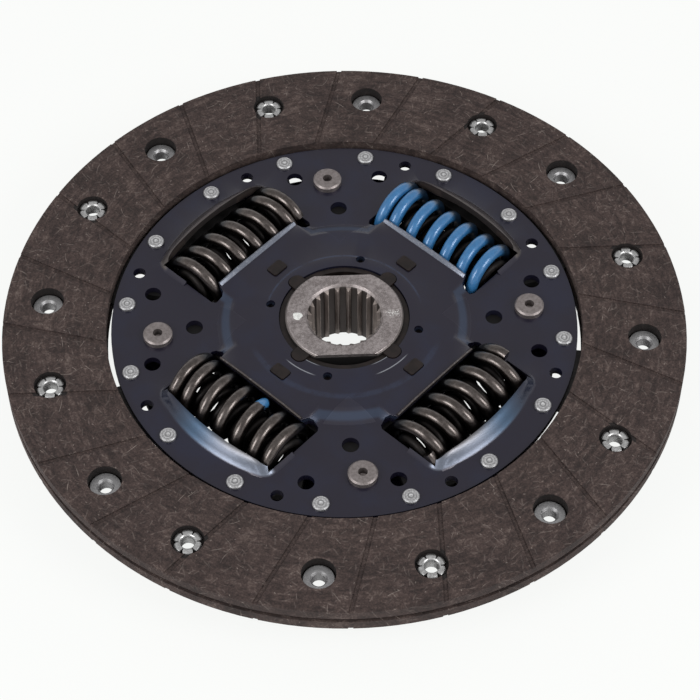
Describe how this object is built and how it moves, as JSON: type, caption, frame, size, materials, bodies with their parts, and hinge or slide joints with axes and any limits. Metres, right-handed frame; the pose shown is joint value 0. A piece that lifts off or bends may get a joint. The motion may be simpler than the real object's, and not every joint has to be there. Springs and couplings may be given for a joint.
{
  "type": "clutch disc",
  "caption": "Round dry clutch disc: riveted friction facings on a spring-damped plate with a splined centre hub.",
  "frame": {"origin": "centre of the hub's rear end face, on which the disc rests", "axes": "+Z along the hub axis from its rear end to its front end; the stop pins lie near +X, +Y, -X and -Y"},
  "size_m": [0.215, 0.215, 0.0278],
  "materials": {
    "facing": "matte woven friction lining",
    "plate_black": "satin blue-black coating",
    "hub_steel": "machined warm grey",
    "spring_steel": "oil-tempered brown-grey",
    "spring_blue": "blue paint",
    "segment_steel": "bare spring steel",
    "rivet_steel": "bright plated",
    "pin_steel": "phosphated grey",
    "bush_plastic": "dark filled plastic",
    "washer_steel": "plain steel",
    "washer_fibre": "dark friction compound"
  },
  "bodies": {
    "disc": {"front_plate": "plate_black", "rear_plate": "plate_black", "front_facing": "facing", "rear_facing": "facing", "cushion_segment_1": "segment_steel", "cushion_segment_2": "segment_steel", "cushion_segment_3": "segment_steel", "cushion_segment_4": "segment_steel", "cushion_segment_5": "segment_steel", "cushion_segment_6": "segment_steel", "cushion_segment_7": "segment_steel", "cushion_segment_8": "segment_steel", "outer_spring_1": "spring_blue", "outer_spring_2": "spring_steel", "outer_spring_3": "spring_steel", "outer_spring_4": "spring_steel", "inner_spring_1": "spring_steel", "inner_spring_2": "spring_steel", "inner_spring_3": "spring_steel", "inner_spring_4": "spring_steel", "stop_pins": "pin_steel", "plate_rivets": "rivet_steel", "facing_rivets_front": "rivet_steel", "facing_rivets_rear": "rivet_steel", "front_bush": "bush_plastic", "front_friction_washer": "washer_fibre", "rear_friction_ring": "washer_fibre", "thrust_plate": "washer_steel", "disc_spring": "washer_steel"},
    "hub": {"hub": "hub_steel"}
  },
  "joints": [
    {"name": "damper_twist", "type": "hinge", "parent": "disc", "child": "hub", "pos_m": [0, 0, 0.01625], "axis": [0, 0, 1], "range_deg": [-6.5, 12.8], "stiffness_Nm_per_rad": 600, "deforming": ["outer_spring_1", "outer_spring_2", "outer_spring_3", "outer_spring_4", "inner_spring_1", "inner_spring_2", "inner_spring_3", "inner_spring_4"]}
  ]
}
